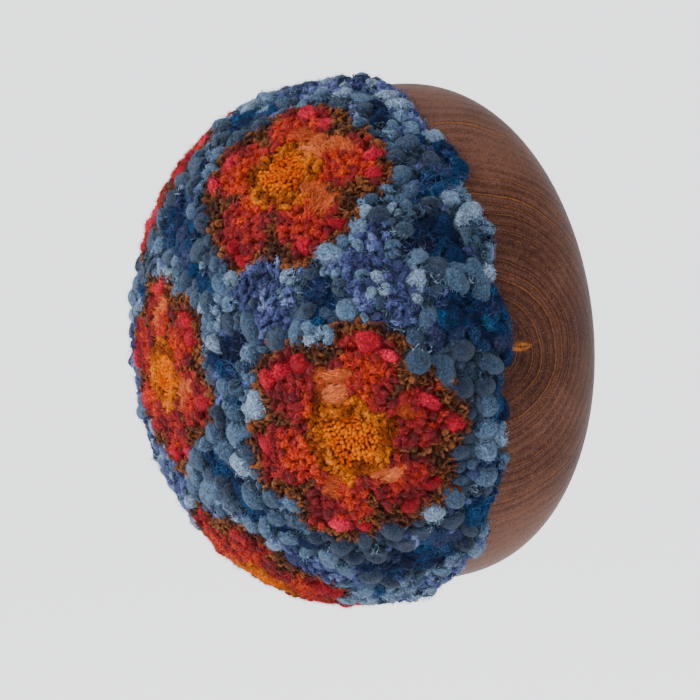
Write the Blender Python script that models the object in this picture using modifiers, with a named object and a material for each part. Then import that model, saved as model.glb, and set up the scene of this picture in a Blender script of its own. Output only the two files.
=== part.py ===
# Punch needle wall piece: a turned wooden bowl, its base to the wall, and a stuffed punch needle
# cushion set in its mouth. Metres, +Z up. The wall is the plane Y = 0 and the piece stands out to -Y.
# Everything is modelled lying on its back, with heights measured out from the wall, and the empty
# "wall_stand" turns it to face the room.
import math

import bmesh
import bpy
import numpy as np
from mathutils import Vector, geometry, noise
from mathutils.kdtree import KDTree

# Bowl
BOWL_RADIUS = 0.0750
BOWL_WIDEST_AT = 0.0380
BOWL_CURVE_DEPTH = 0.0412
BOWL_CURVE_POWER = 2.41
BOWL_WALL = 0.0078
BOWL_FLOOR = 0.0090
RIM_AT = 0.0543
RIM_DRAWN_IN = 0.0015
RIM_ROUNDING = 0.0025
BOWL_STEPS = 60
WOOD_COLOUR = (0.095, 0.040, 0.024)
WOOD_ROUGHNESS = 0.42

# Cushion
CUSHION_RADIUS = 0.0780
CUSHION_RISE = 0.0636
CUSHION_CURVE_POWER = 2.32
CUSHION_SAG = 0.0014
SEAT_GAP = 0.0003
SIDE_GAP = 0.0004
PLUG_STEPS = 48
PLUG_OVERLAP = 0.0040

# The turned-under edge of the cushion, from the widest ring to the flat seat on the rim
EDGE_RINGS = (
    # distance outside the bowl's radius, height over the rim, share of the pile's relief
    {"outside": 0.0027, "over_rim": -0.0022, "relief": 1.0},
    {"outside": 0.0014, "over_rim": -0.0036, "relief": 0.8},
    {"outside": 0.0000, "over_rim": -0.0031, "relief": 0.0},
    {"outside": -0.0027, "over_rim": SEAT_GAP, "relief": 0.0},
)

# Blossoms: where each lies (turn round the crown, way down from it), its size, petals and twist
BLOSSOMS = (
    {"turn": 205, "down": 0.004, "radius": 0.0300, "petals": 6, "twist": 10},
    {"turn": -21, "down": 0.074, "radius": 0.0345, "petals": 6, "twist": 24},
    {"turn": 52, "down": 0.072, "radius": 0.0310, "petals": 5, "twist": 50},
    {"turn": 124, "down": 0.075, "radius": 0.0330, "petals": 6, "twist": 5},
    {"turn": 195, "down": 0.072, "radius": 0.0315, "petals": 5, "twist": 31},
    {"turn": 267, "down": 0.074, "radius": 0.0320, "petals": 6, "twist": 17},
)
EYE_REACH = 0.25
OCHRE_REACH = 0.40
PETAL_REACH = 0.74
TIP_REACH = 0.88
PETAL_NOTCH = 0.17
NOTCH_ROUNDNESS = 1.5
NOTCH_WIDTH = 0.42
TIP_WIDTH = 0.68
OUTLINE_WOBBLE = 0.09
WOBBLE_SCALE = 0.011

# Blue ground round the blossoms
HALO_REACH = 1.16
HALO_SWAY = 0.3
PATCH_SCALE = 0.024
DARK_PATCH_ABOVE = 0.07
SMALL_LOOP_PATCH_BELOW = -0.20

# Yarns: colour, and how high the pile stands over the mean surface
YARNS = {
    "yellow": {"colour": (0.78, 0.25, 0.008), "pile": -0.0007},
    "ochre": {"colour": (0.58, 0.26, 0.012), "pile": -0.0003},
    "orange": {"colour": (0.55, 0.072, 0.014), "pile": 0.0005},
    "coral": {"colour": (0.70, 0.035, 0.050), "pile": 0.0010},
    "brown": {"colour": (0.145, 0.037, 0.008), "pile": -0.0008},
    "slate": {"colour": (0.115, 0.215, 0.325), "pile": -0.0009},
    "navy": {"colour": (0.012, 0.020, 0.065), "pile": -0.0006},
    "periwinkle": {"colour": (0.100, 0.160, 0.430), "pile": -0.0002},
}
YARN_NAMES = list(YARNS)
WOOL_ROUGHNESS = 0.95

# Felted tufts, the lumps that show from across the room
TUFT_RADIUS = (0.0027, 0.0037)
TUFT_RISE = 0.0024
TUFT_ROUNDNESS = 2.5
TUFT_SPACING = 0.93
TUFT_DARTS = 9000
TUFT_SEED = 11
EDGE_TUFT_PITCH = 0.0068
EDGE_TUFT_BACK = 0.0018
EDGE_TUFT_STRAY = 0.3
EDGE_TUFT_HANG = 0.0024
LUMP_SCALE = 0.015
LUMP_RISE = 0.0005

# The net of faces over the cushion: a ring on each tuft, close knots between tufts, wider ones elsewhere
TUFT_RING_SIZE = 0.6
TUFT_RING_KNOTS = 5
VALLEY_FROM = 0.85
VALLEY_TO = 1.5
VALLEY_SPACING = 0.0016
OPEN_SPACING = 0.0037
EDGE_CLEARANCE = 0.0012
EDGE_KNOT_SHARES = (-0.21, 0.21, 0.50)
NET_DARTS = 30000
NET_SEED = 23


def superellipse(radius, depth, power, angle):
    """Radius and depth of a superellipse's quarter at an angle that is 0 in its widest plane."""
    bend = 2.0 / power
    return radius * math.cos(angle) ** bend, depth * math.sin(angle) ** bend


def make_meridian(samples=600):
    """The cushion's smooth outline from crown to edge: way down, radius, height and share of area."""
    angles = np.linspace(math.pi / 2, 0.0, samples)
    bend = 2.0 / CUSHION_CURVE_POWER
    radius = CUSHION_RADIUS * np.abs(np.cos(angles)) ** bend
    height = CUSHION_RISE * np.sin(angles) ** bend
    steps = np.hypot(np.diff(radius), np.diff(height))
    down = np.concatenate([[0.0], np.cumsum(steps)])
    bands = steps * (radius[1:] + radius[:-1]) / 2
    area = np.concatenate([[0.0], np.cumsum(bands)])
    return down, radius, height, area / area[-1]


DOWN, DOWN_RADIUS, DOWN_HEIGHT, DOWN_AREA = make_meridian()
EDGE_DOWN = DOWN[-1]
EDGE_TUFTS = int(2 * math.pi * CUSHION_RADIUS / EDGE_TUFT_PITCH)


def on_cushion(down, turn):
    """A point of the smooth cushion, from its way down from the crown and its turn round it."""
    radius = float(np.interp(down, DOWN, DOWN_RADIUS))
    height = float(np.interp(down, DOWN, DOWN_HEIGHT))
    drop = CUSHION_SAG * (0.4 + 0.6 * height / CUSHION_RISE)
    return Vector((radius * math.cos(turn), radius * math.sin(turn) - drop, RIM_AT + height))


def out_of_cushion(down, turn):
    """The direction straight out of the smooth cushion there."""
    step = 0.0005
    low = min(down + step, EDGE_DOWN)
    high = max(down - step, 0.0)
    rise = float(np.interp(high, DOWN, DOWN_HEIGHT) - np.interp(low, DOWN, DOWN_HEIGHT))
    run = float(np.interp(low, DOWN, DOWN_RADIUS) - np.interp(high, DOWN, DOWN_RADIUS))
    normal = Vector((rise * math.cos(turn), rise * math.sin(turn), run))
    return normal.normalized()


def place_blossoms():
    """Each blossom's centre and its two directions along the surface."""
    placed = []
    for row in BLOSSOMS:
        turn = math.radians(row["turn"])
        out = out_of_cushion(row["down"], turn)
        across = Vector((-math.sin(turn), math.cos(turn), 0.0))
        placed.append({**row, "centre": on_cushion(row["down"], turn), "across": across, "along": across.cross(out)})
    return placed


PLACED_BLOSSOMS = place_blossoms()


def nearest_blossom(point):
    """How far out of the nearest blossom a point lies (1 is its outline), and how near a petal's middle."""
    wobble = OUTLINE_WOBBLE * noise.noise(point / WOBBLE_SCALE)
    best = (math.inf, 0.0)
    for blossom in PLACED_BLOSSOMS:
        offset = point - blossom["centre"]
        angle = math.atan2(offset.dot(blossom["across"]), offset.dot(blossom["along"]))
        petal = abs(math.cos(blossom["petals"] * (angle - math.radians(blossom["twist"])) / 2))
        outline = blossom["radius"] * (1 - PETAL_NOTCH * (1 - petal) ** NOTCH_ROUNDNESS)
        reach = offset.length / outline + wobble
        if reach < best[0]:
            best = (reach, petal)
    return best


def yarn_at(point):
    """The yarn punched at a point of the cushion."""
    reach, petal = nearest_blossom(point)
    if reach < EYE_REACH:
        return "yellow"
    if reach < OCHRE_REACH:
        return "ochre"
    if reach < 1.0 and petal < NOTCH_WIDTH * reach:
        return "brown"
    if reach < PETAL_REACH:
        return "orange"
    if reach < TIP_REACH and petal > TIP_WIDTH:
        return "coral"
    if reach < 1.0:
        return "brown"
    patch = noise.noise(point / PATCH_SCALE)
    if reach > HALO_REACH * (1 + HALO_SWAY * patch):
        if patch > DARK_PATCH_ABOVE:
            return "navy"
        if patch < SMALL_LOOP_PATCH_BELOW:
            return "periwinkle"
    return "slate"


def throw_dart(draw):
    """A place thrown at the cushion, as likely on one part of its surface as on another."""
    return float(np.interp(draw.random(), DOWN_AREA, DOWN)), 2 * math.pi * draw.random()


def make_tuft(down, turn, radius):
    """A felted tuft's site on the cushion."""
    return {"down": down, "turn": turn, "radius": radius, "point": on_cushion(down, turn)}


def stands_clear(tuft, other):
    """Whether two tufts have room side by side."""
    room = TUFT_SPACING * (tuft["radius"] + other["radius"])
    return (tuft["point"] - other["point"]).length > room


def throw_tufts():
    """Sites of the felted tufts: a row along the cushion's edge, then darts thrown at the ground."""
    draw = np.random.default_rng(TUFT_SEED)
    tufts = []
    for index in range(EDGE_TUFTS):
        turn = 2 * math.pi * (index + EDGE_TUFT_STRAY * draw.random()) / EDGE_TUFTS
        tufts.append(make_tuft(EDGE_DOWN - EDGE_TUFT_BACK, turn, draw.uniform(*TUFT_RADIUS)))
    for _ in range(TUFT_DARTS):
        tuft = make_tuft(*throw_dart(draw), draw.uniform(*TUFT_RADIUS))
        if yarn_at(tuft["point"]) == "slate" and all(stands_clear(tuft, other) for other in tufts):
            tufts.append(tuft)
    return tufts


def search_tree(points):
    """A search tree over a list of points."""
    tree = KDTree(len(points))
    for index, point in enumerate(points):
        tree.insert(point, index)
    tree.balance()
    return tree


def tuft_share(point, tufts, tree):
    """How much of a tuft's height is reached at a point: 1 over its middle, 0 between tufts."""
    _, index, distance = tree.find(point)
    radius = tufts[index]["radius"]
    return max(0.0, 1 - (distance / radius) ** TUFT_ROUNDNESS)


def relief_at(point, tufts, tree):
    """How far the pile stands out of the smooth cushion at a point."""
    base = YARNS[yarn_at(point)]["pile"] + LUMP_RISE * noise.noise(point / LUMP_SCALE)
    return base + TUFT_RISE * tuft_share(point, tufts, tree)


def make_material(name, colour, roughness):
    """A plain Principled material."""
    material = bpy.data.materials.new(name)
    material.use_nodes = True
    shader = material.node_tree.nodes["Principled BSDF"]
    shader.inputs["Base Color"].default_value = (*colour, 1.0)
    shader.inputs["Roughness"].default_value = roughness
    material.diffuse_color = (*colour, 1.0)
    return material


def add_object(name, mesh, collection, parent):
    """An object for a mesh, in a collection and under a parent."""
    made = bpy.data.objects.new(name, mesh)
    collection.objects.link(made)
    made.parent = parent
    return made


def turned_piece(name, profile, steps, collection, parent):
    """A turned solid from a profile of (radius, height) points whose ends lie on the axis."""
    mesh = bpy.data.meshes.new(name)
    points = [(radius, 0.0, height) for radius, height in profile]
    edges = [(index, index + 1) for index in range(len(points) - 1)]
    mesh.from_pydata(points, edges, [])
    made = add_object(name, mesh, collection, parent)
    screw = made.modifiers.new("turn", "SCREW")
    screw.axis = "Z"
    screw.steps = steps
    screw.render_steps = steps
    screw.use_merge_vertices = True
    screw.merge_threshold = 0.00005
    screw.use_smooth_shade = True
    return made


def bowl_inner_curve(clearance, count):
    """The bowl's inside from its floor's middle to its widest plane, less a clearance."""
    radius = BOWL_RADIUS - BOWL_WALL - clearance
    depth = BOWL_WIDEST_AT - BOWL_FLOOR - clearance
    points = []
    for angle in np.linspace(math.pi / 2, 0.0, count):
        across, down = superellipse(radius, depth, BOWL_CURVE_POWER, angle)
        points.append((across, BOWL_WIDEST_AT - down))
    points[0] = (0.0, points[0][1])
    return points


def bowl_side(height):
    """The bowl's outside radius between its widest plane and its rim."""
    share = (height - BOWL_WIDEST_AT) / (RIM_AT - BOWL_WIDEST_AT)
    return BOWL_RADIUS - RIM_DRAWN_IN * share**2


def bowl_profile():
    """Up the inside of the bowl, over its rounded rim and down its outside to the flat base."""
    points = bowl_inner_curve(0.0, 9)
    rounding_from = RIM_AT - RIM_ROUNDING
    middle = (BOWL_WIDEST_AT + rounding_from) / 2
    points.append((bowl_side(middle) - BOWL_WALL, middle))
    rim_middle = bowl_side(RIM_AT) - BOWL_WALL / 2
    for angle in np.linspace(math.pi, 0.0, 9):
        points.append((rim_middle + BOWL_WALL / 2 * math.cos(angle), rounding_from + RIM_ROUNDING * math.sin(angle)))
    points.append((bowl_side(middle), middle))
    base_angle = math.asin((BOWL_WIDEST_AT / BOWL_CURVE_DEPTH) ** (BOWL_CURVE_POWER / 2))
    for angle in np.linspace(0.0, base_angle, 12):
        across, down = superellipse(BOWL_RADIUS, BOWL_CURVE_DEPTH, BOWL_CURVE_POWER, angle)
        points.append((across, BOWL_WIDEST_AT - down))
    points[-1] = (points[-1][0], 0.0)
    points.append((0.0, 0.0))
    return points


def make_bowl(collection, parent):
    """The turned bowl, a hollow shell with a flat base."""
    bowl = turned_piece("wood_bowl", bowl_profile(), BOWL_STEPS, collection, parent)
    bowl.data.materials.append(make_material("oiled_wood", WOOD_COLOUR, WOOD_ROUGHNESS))
    return bowl


def plug_profile():
    """The hidden part of the cushion, which fills the bowl: a closed outline from floor to top."""
    points = bowl_inner_curve(SIDE_GAP, 8)
    points.append((bowl_side(RIM_AT) - BOWL_WALL - SIDE_GAP, RIM_AT - RIM_ROUNDING))
    top = RIM_AT + PLUG_OVERLAP
    points.append((points[-1][0], top))
    points.append((0.0, top))
    return list(reversed([(across, height) for across, height in points]))


def flat_map():
    """The radius at which each way down lies on a flat map of the cushion that keeps its angles."""
    middles = (DOWN_RADIUS[1:] + DOWN_RADIUS[:-1]) / 2
    growth = np.cumsum(np.diff(DOWN) / middles)
    return np.concatenate([[0.0], np.exp(growth - growth[-1])])


def tuft_knots(tuft):
    """A knot on the top of a tuft and a ring of knots on its shoulder."""
    around = float(np.interp(tuft["down"], DOWN, DOWN_RADIUS))
    reach = TUFT_RING_SIZE * tuft["radius"]
    knots = [(tuft["down"], tuft["turn"])]
    for index in range(TUFT_RING_KNOTS):
        angle = 2 * math.pi * index / TUFT_RING_KNOTS + tuft["turn"]
        down = tuft["down"] + reach * math.cos(angle)
        knots.append((down, tuft["turn"] + reach * math.sin(angle) / around))
    return knots


def net_knots(tufts, tree):
    """Where the knots of the cushion's net lie: its border, its tufts, and darts thrown between them."""
    edge_turns = [tuft["turn"] for tuft in tufts[:EDGE_TUFTS]]
    knots = []
    for turn, following in zip(edge_turns, edge_turns[1:] + [edge_turns[0] + 2 * math.pi]):
        knots += [(EDGE_DOWN, turn + (following - turn) * share) for share in EDGE_KNOT_SHARES]
    for tuft in tufts:
        knots += [knot for knot in tuft_knots(tuft) if knot[0] < EDGE_DOWN - EDGE_CLEARANCE]
    points = np.zeros((len(knots) + NET_DARTS, 3))
    points[: len(knots)] = [on_cushion(*knot) for knot in knots]
    draw = np.random.default_rng(NET_SEED)
    for _ in range(NET_DARTS):
        knot = throw_dart(draw)
        point = on_cushion(*knot)
        _, index, distance = tree.find(point)
        if distance < VALLEY_FROM * tufts[index]["radius"] or knot[0] > EDGE_DOWN - EDGE_CLEARANCE:
            continue
        spacing = VALLEY_SPACING if distance < VALLEY_TO * tufts[index]["radius"] else OPEN_SPACING
        if np.linalg.norm(points[: len(knots)] - np.array(point), axis=1).min() > spacing:
            points[len(knots)] = point
            knots.append(knot)
    return knots


def net_over_cushion(tufts, tree):
    """The piled dome as an open net of faces between its knots."""
    knots = net_knots(tufts, tree)
    map_radius = flat_map()
    spread = []
    for down, turn in knots:
        radius = float(np.interp(down, DOWN, map_radius))
        spread.append(Vector((radius * math.cos(turn), radius * math.sin(turn))))
    _, _, faces, sources, _, _ = geometry.delaunay_2d_cdt(spread, [], [], 0, 1e-6)
    points = []
    for source in sources:
        down, turn = knots[source[0]]
        point = on_cushion(down, turn)
        points.append(point + out_of_cushion(down, turn) * relief_at(point, tufts, tree))
    net = bpy.data.meshes.new("punched_dome")
    net.from_pydata(points, [], faces)
    return net


def turn_under(bm, border, ring, tufts, tree):
    """Extrudes the cushion's border to the next ring of its turned-under edge."""
    made = bmesh.ops.extrude_edge_only(bm, edges=border)["geom"]
    for vert in (part for part in made if isinstance(part, bmesh.types.BMVert)):
        turn = math.atan2(vert.co.y, vert.co.x)
        edge_point = on_cushion(EDGE_DOWN, turn)
        radius = BOWL_RADIUS + ring["outside"] + ring["relief"] * relief_at(edge_point, tufts, tree)
        hang = ring["relief"] * EDGE_TUFT_HANG * tuft_share(edge_point, tufts, tree)
        vert.co = (radius * math.cos(turn), radius * math.sin(turn), RIM_AT + ring["over_rim"] - hang)
    return [part for part in made if isinstance(part, bmesh.types.BMEdge)]


def make_cushion(collection, cutters, parent):
    """The stuffed cushion with its pile: a lumpy dome, its edge turned under on to the rim, and the plug."""
    tufts = throw_tufts()
    tree = search_tree([tuft["point"] for tuft in tufts])
    mesh = net_over_cushion(tufts, tree)
    bm = bmesh.new()
    bm.from_mesh(mesh)
    border = [edge for edge in bm.edges if edge.is_boundary]
    for ring in EDGE_RINGS:
        border = turn_under(bm, border, ring, tufts, tree)
    bmesh.ops.edgeloop_fill(bm, edges=border)
    bmesh.ops.recalc_face_normals(bm, faces=bm.faces)
    for name, yarn in YARNS.items():
        mesh.materials.append(make_material(f"wool_{name}", yarn["colour"], WOOL_ROUGHNESS))
    for face in bm.faces:
        face.smooth = True
        face.material_index = YARN_NAMES.index(yarn_at(face.calc_center_median()))
    bm.to_mesh(mesh)
    bm.free()
    cushion = add_object("punched_dome", mesh, collection, parent)
    plug = turned_piece("plug", plug_profile(), PLUG_STEPS, cutters, parent)
    plug.data.materials.append(mesh.materials[YARN_NAMES.index("slate")])
    plug.hide_render = True
    plug.display_type = "WIRE"
    join = cushion.modifiers.new("join_plug", "BOOLEAN")
    join.operation = "UNION"
    join.solver = "EXACT"
    join.object = plug
    return cushion


def main():
    for old in list(bpy.data.objects):
        bpy.data.objects.remove(old)
    parts = bpy.data.collections.new("punch_needle_wall_piece")
    cutters = bpy.data.collections.new("cutters")
    bpy.context.scene.collection.children.link(parts)
    bpy.context.scene.collection.children.link(cutters)
    stand = add_object("wall_stand", None, parts, None)
    stand.rotation_euler = (math.pi / 2, 0.0, 0.0)
    make_bowl(parts, stand)
    make_cushion(parts, cutters, stand)


main()
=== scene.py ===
# Punch needle wall piece: a wool cushion of loops and felted tufts in a turned wooden bowl.
# The work is laid out as if the piece lay on its back, with heights measured out from the wall, and each
# mesh is then stood up to face -Y, where the frame has it. Metres.
import math
from collections import namedtuple
from types import SimpleNamespace

import bpy
import numpy as np
from mathutils import Matrix, Vector, noise


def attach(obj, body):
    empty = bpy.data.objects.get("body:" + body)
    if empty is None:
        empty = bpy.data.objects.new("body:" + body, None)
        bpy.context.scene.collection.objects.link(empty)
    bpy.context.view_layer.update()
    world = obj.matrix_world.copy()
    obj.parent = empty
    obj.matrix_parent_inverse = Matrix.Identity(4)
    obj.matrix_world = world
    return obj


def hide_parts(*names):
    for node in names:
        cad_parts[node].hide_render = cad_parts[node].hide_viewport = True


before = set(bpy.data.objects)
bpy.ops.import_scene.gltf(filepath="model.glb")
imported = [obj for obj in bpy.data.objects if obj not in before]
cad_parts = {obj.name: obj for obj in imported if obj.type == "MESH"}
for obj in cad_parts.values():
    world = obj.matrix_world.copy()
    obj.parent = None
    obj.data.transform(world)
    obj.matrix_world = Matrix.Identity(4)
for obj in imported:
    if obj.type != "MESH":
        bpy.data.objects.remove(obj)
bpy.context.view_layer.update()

# Bowl
BOWL_RADIUS = 0.075
BOWL_WIDEST_AT = 0.038
BOWL_CURVE_DEPTH = 0.0412
BOWL_CURVE_POWER = 2.41
BOWL_WALL = 0.0078
BOWL_FLOOR = 0.009
BASE_EDGE = 0.0005
RIM_AT = 0.0543
RIM_DRAWN_IN = 0.0015
RIM_ROUNDING = 0.0025
BOWL_STEPS = 128

# Cushion
CUSHION_RADIUS = 0.078
CUSHION_RISE = 0.0636
CUSHION_CURVE_POWER = 2.32
CUSHION_SAG = 0.0014
SAG_AT_EDGE = 0.4
EDGE_TURN_RADIUS = 0.0026
EDGE_TURN_DEPTH = 1.5
EDGE_TURN = 100
EDGE_BAND = 0.0042
SEAT_GAP = 0.0003
SEAT_IN = 0.0027
SIDE_GAP = 0.0004

# The stuffed cloth under the pile
CLOTH_DEPTH = 0.0017
CLOTH_LUMP = 0.0005
CLOTH_LUMP_SCALE = 0.004
CLOTH_OFF_WOOD = 0.0004
CLOTH_STEPS = 112
CLOTH_ROWS = 48

# Blossoms: where each lies (turn round the crown, way down from it), its size, petals and twist
Blossom = namedtuple("Blossom", "turn down radius petals twist")
BLOSSOMS = (
    Blossom(205, 0.004, 0.03, 6, 10),
    Blossom(-21, 0.074, 0.0345, 6, 24),
    Blossom(52, 0.072, 0.031, 5, 50),
    Blossom(124, 0.075, 0.033, 6, 5),
    Blossom(195, 0.072, 0.0315, 5, 31),
    Blossom(267, 0.074, 0.032, 6, 17),
)
EYE_REACH = 0.24
OCHRE_REACH = 0.37
PETAL_REACH = 0.74
TIP_REACH = 0.88
PETAL_NOTCH = 0.17
NOTCH_ROUNDNESS = 1.5
NOTCH_WIDTH = 0.42
TIP_WIDTH = 0.68
OUTLINE_WOBBLE = 0.09
WOBBLE_SCALE = 0.011
HALO_REACH = 1.16
HALO_SWAY = 0.3
PATCH_SCALE = 0.024
DARK_PATCH_ABOVE = 0.07
SMALL_LOOP_PATCH_BELOW = -0.2
GROUND_PALEST = 0.21
ROVING_SCALE = 0.013
ROVING_NOISE_AT = 0.3
ROVING_ABOVE = 0.34
ROVING_REACH = 0.66

# Felted tufts, which the frame has too
TUFT_RADIUS = (0.0027, 0.0037)
TUFT_SPACING = 0.93
TUFT_DARTS = 9000
TUFT_SEED = 11
EDGE_TUFT_PITCH = 0.0068
EDGE_TUFT_BACK = 0.0018
EDGE_TUFT_STRAY = 0.3

# A second row of tufts, turned under the cushion's edge
UNDER_ROW_DOWN = 0.003
UNDER_ROW_RADIUS = (0.0024, 0.0033)

# The pile's edge hangs unevenly over the wood: how far down and out at most, how wide and strong its waves
# are, where in the noise they lie, and how far up the cushion they reach
HANG = 0.0046
HANG_SPREAD = 0.0008
HANG_WAVE = 0.017
HANG_SWAY = 1.1
HANG_NOISE_AT = 0.05
HANG_FROM = 0.012

# Smaller loops, thrown at their zones in this order
Filler = namedtuple("Filler", "yarn zone smallest largest spacing most")
FILLERS = (
    Filler("coral", "coral", 0.0023, 0.0031, 0.9, 76),
    Filler("roving", "roving", 0.0022, 0.003, 0.6, 44),
    Filler("navy", "navy", 0.0019, 0.0029, 0.72, 400),
    Filler("ochre", "ochre", 0.001, 0.0015, 0.68, 600),
    Filler("orange", "orange", 0.0011, 0.0017, 0.64, 1300),
    Filler("orange", "coral", 0.001, 0.0015, 0.66, 170),
    Filler("slate", "periwinkle", 0.0017, 0.0024, 0.95, 40),
    Filler("silver", "periwinkle", 0.0011, 0.0015, 0.9, 40),
    Filler("periwinkle", "periwinkle", 0.0011, 0.0018, 0.72, 480),
    Filler("slate", "slate", 0.0016, 0.0023, 0.8, 260),
    Filler("silver", "slate", 0.0011, 0.0016, 0.7, 190),
    Filler("periwinkle", "slate", 0.001, 0.0014, 0.74, 120),
    Filler("slate", "slate", 0.001, 0.0013, 0.8, 200),
    Filler("brown", "brown", 0.0008, 0.0012, 0.62, 2000),
    Filler("yellow", "yellow", 0.00056, 0.0007, 0.72, 760),
)
DARTS = 260000
DARTS_A_ROW = 24000
SITE_SEED = 31
MOST_SITES = 9000

# Each yarn's tones in linear light, in the order in which its loops drift from one to the next
YARN_TONES = {
    "yellow": (
        (0.23, 0.028, 0.0001), (0.268, 0.036, 0.0001), (0.31, 0.05, 0.0001), (0.36, 0.073, 0.0002),
    ),
    "ochre": (
        (0.095, 0.015, 0.0006), (0.165, 0.03, 0.0006), (0.235, 0.049, 0.0006), (0.295, 0.068, 0.001),
    ),
    "orange": (
        (0.255, 0.019, 0.0024), (0.2, 0.011, 0.0044), (0.145, 0.0068, 0.0066),
        (0.096, 0.0048, 0.0072), (0.056, 0.0036, 0.006),
    ),
    "coral": ((0.135, 0.0016, 0.0052), (0.22, 0.0028, 0.0098), (0.315, 0.0068, 0.023)),
    "roving": ((0.15, 0.021, 0.005), (0.21, 0.037, 0.01), (0.27, 0.06, 0.019)),
    "brown": (
        (0.017, 0.0058, 0.0036), (0.034, 0.0102, 0.005), (0.056, 0.0156, 0.006),
        (0.081, 0.0232, 0.0074), (0.106, 0.0318, 0.0092),
    ),
    "slate": (
        (0.005, 0.009, 0.024), (0.0105, 0.0215, 0.043), (0.0225, 0.045, 0.082),
        (0.053, 0.09, 0.148), (0.098, 0.14, 0.205),
    ),
    "navy": (
        (0.0022, 0.0026, 0.009), (0.004, 0.006, 0.023), (0.0015, 0.011, 0.035),
        (0.002, 0.024, 0.064), (0.016, 0.018, 0.042),
    ),
    "periwinkle": (
        (0.013, 0.016, 0.052), (0.024, 0.031, 0.092), (0.042, 0.054, 0.142), (0.082, 0.104, 0.205),
    ),
    "silver": ((0.02, 0.038, 0.068), (0.048, 0.08, 0.13), (0.1, 0.145, 0.21)),
}
# The cloth under the pile is painted darker than its yarns, as the shade deep between the loops; under the
# eyes it keeps their full colour.
CLOTH_PAINTED_SHADE = 0.55
EYE_CLOTH_PAINTED_SHADE = 1.0
# Each shiny clump's curls are made lighter and darker in turn: the light ones are painted glints on the shiny
# yarn, the dark ones its darker strands.
FLECKED_GLINTS_AND_SHADES = (0.22, 0.95, 0.35, 0.8, 0.25, 1.05)
HIDDEN_CLOTH = (0.42, 0.36, 0.27)

# The pile's pieces: their wool, the seed of their draws, how deep they are sunk, how large their loops are
# against their sites, how far the loops tip and how unevenly they bend
Pile = namedtuple("Pile", "wool seed sink smallest largest tilt rough")
PILES = {
    "felted_tufts": Pile("felted_wool", 101, 0.001, 0.95, 1.15, 0.18, 0.11),
    "small_tufts": Pile("felted_wool", 102, 0.001, 0.95, 1.15, 0.18, 0.11),
    "petal_loops": Pile("petal_wool", 112, 0.0003, 0.9, 1.2, 0.18, 0.15),
    "petal_tips": Pile("coral_wool", 114, 0.0008, 0.95, 1.15, 0.18, 0.18),
    "roving_patches": Pile("roving_wool", 116, 0.0012, 0.95, 1.15, 0.18, 0.16),
    "ochre_loops": Pile("ochre_wool", 122, 0.0005, 0.95, 1.25, 0.22, 0.16),
    "eye_loops": Pile("eye_wool", 124, 0.0006, 0.95, 1.2, 0.22, 0.12),
    "outline_curls": Pile("boucle_wool", 132, 0.0004, 0.95, 1.3, 0.25, 0.14),
    "dark_clumps": Pile("dark_wool", 142, 0.001, 0.95, 1.25, 0.18, 0.22),
    "small_blue_loops": Pile("smooth_wool", 145, 0.0004, 0.85, 1.25, 0.3, 0.16),
    "shiny_strands": Pile("shiny_strand", 147, -0.0001, 0.9, 1.2, 0.25, 0.1),
}

# How each wool looks: the size of its hairs and the height of its relief, its sheen and the sheen's tint, how
# dark the painted shade at its roots is, how far its hairs and fuzz stray from its own colour, and its gloss
Wool = namedtuple("Wool", "hair relief sheen tint root fleck gloss", defaults=(0.4, 0.5, 0.06))
WOOLS = {
    "pile_roots": Wool(0.0008, 0.0003, 0.03, (0.5, 0.5, 0.5)),
    "felted_wool": Wool(0.0008, 0.0006, 0.26, (0.6, 0.7, 0.82), fleck=0.58),
    "petal_wool": Wool(0.0006, 0.0004, 0.14, (0.95, 0.4, 0.35), root=0.5),
    "coral_wool": Wool(0.0006, 0.0005, 0.14, (0.95, 0.35, 0.4), root=0.55, fleck=0.55),
    "roving_wool": Wool(0.0007, 0.0004, 0.12, (0.9, 0.55, 0.35), fleck=0.6),
    "ochre_wool": Wool(0.0008, 0.0003, 0.08, (0.9, 0.6, 0.3), root=0.6),
    "eye_wool": Wool(0.0007, 0.00012, 0.0, (0.9, 0.6, 0.2), root=0.85, fleck=0.16, gloss=0.02),
    "boucle_wool": Wool(0.0008, 0.0002, 0.12, (0.8, 0.55, 0.45), root=0.65, fleck=0.45),
    "dark_wool": Wool(0.0009, 0.0005, 0.05, (0.2, 0.4, 0.8), fleck=0.6, gloss=0.03),
    "smooth_wool": Wool(0.0006, 0.0004, 0.14, (0.6, 0.7, 0.9), root=0.5, fleck=0.55),
    "shiny_strand": Wool(0.0008, 0.00008, 0.03, (0.8, 0.9, 1.0), fleck=0.35, gloss=0.12),
    "blue_fibres": Wool(0.0008, 0.00002, 0.05, (0.8, 0.8, 0.8), fleck=0.25),
    "warm_fibres": Wool(0.0008, 0.00002, 0.05, (0.8, 0.8, 0.8), fleck=0.25),
}

# Shapes: a direction that no tube runs along, how dark the painted shade in the grooves between plies is, how
# wavy the bends of the loops are, and how far down a loop's painted root shade still grows darker
TUBE_SIDE = (0.12, 0.99, 0.05)
PLY_PAINTED_SHADE = 1.6
BEND_WAVES = 1.5
ROOT_SHADE_TO = -1.2
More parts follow.
